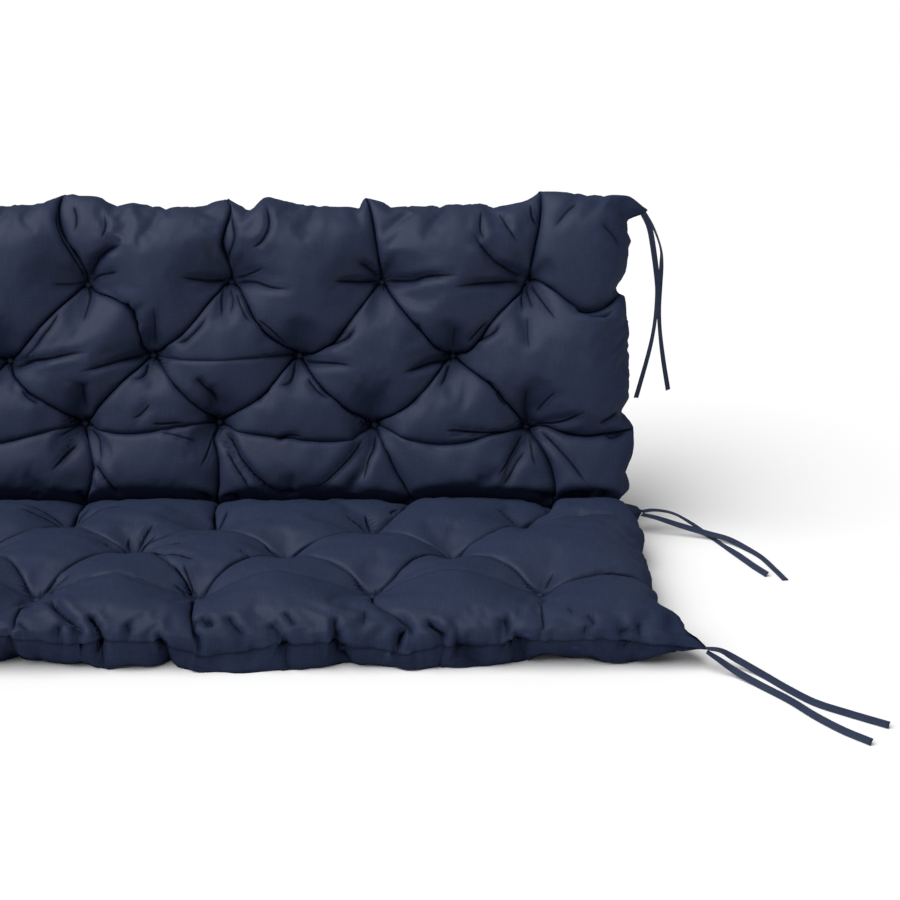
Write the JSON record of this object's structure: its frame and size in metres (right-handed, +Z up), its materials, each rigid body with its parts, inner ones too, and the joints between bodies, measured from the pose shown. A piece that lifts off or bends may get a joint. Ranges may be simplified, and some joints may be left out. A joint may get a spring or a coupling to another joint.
{
  "type": "bench cushion",
  "caption": "Tufted bench cushion: padded seat and back in one cover, bent at a sewn fold, with flat tape ties at the corners and the fold.",
  "frame": {"origin": "on the surface that the cushion lies on, under the centre of the cushion's box, ties left out", "axes": "+X across the width, -Y towards the sitter's knees, +Z up"},
  "size_m": [1.924, 0.8588, 0.481],
  "materials": {
    "cover_cloth": "navy plain-weave polyester, soft sheen",
    "button_cloth": "navy cloth-covered tuft button",
    "tie_tape": "navy folded cloth tape"
  },
  "bodies": {
    "root": {"cushion": "cover_cloth", "button_seat_front_1": "button_cloth", "button_seat_front_2": "button_cloth", "button_seat_front_3": "button_cloth", "button_seat_front_4": "button_cloth", "button_seat_front_5": "button_cloth", "button_seat_front_6": "button_cloth", "button_seat_middle_1": "button_cloth", "button_seat_middle_2": "button_cloth", "button_seat_middle_3": "button_cloth", "button_seat_middle_4": "button_cloth", "button_seat_middle_5": "button_cloth", "button_seat_rear_1": "button_cloth", "button_seat_rear_2": "button_cloth", "button_seat_rear_3": "button_cloth", "button_seat_rear_4": "button_cloth", "button_seat_rear_5": "button_cloth", "button_seat_rear_6": "button_cloth", "button_back_low_1": "button_cloth", "button_back_low_2": "button_cloth", "button_back_low_3": "button_cloth", "button_back_low_4": "button_cloth", "button_back_low_5": "button_cloth", "button_back_low_6": "button_cloth", "button_back_middle_1": "button_cloth", "button_back_middle_2": "button_cloth", "button_back_middle_3": "button_cloth", "button_back_middle_4": "button_cloth", "button_back_middle_5": "button_cloth", "button_back_top_1": "button_cloth", "button_back_top_2": "button_cloth", "button_back_top_3": "button_cloth", "button_back_top_4": "button_cloth", "button_back_top_5": "button_cloth", "button_back_top_6": "button_cloth", "tie_fold_upper_left": "tie_tape", "tie_fold_lower_left": "tie_tape", "tie_front_upper_left": "tie_tape", "tie_front_lower_left": "tie_tape", "tie_top_front_left": "tie_tape", "tie_top_rear_left": "tie_tape", "tie_fold_upper_right": "tie_tape", "tie_fold_lower_right": "tie_tape", "tie_front_upper_right": "tie_tape", "tie_front_lower_right": "tie_tape", "tie_top_front_right": "tie_tape", "tie_top_rear_right": "tie_tape"}
  },
  "joints": []
}
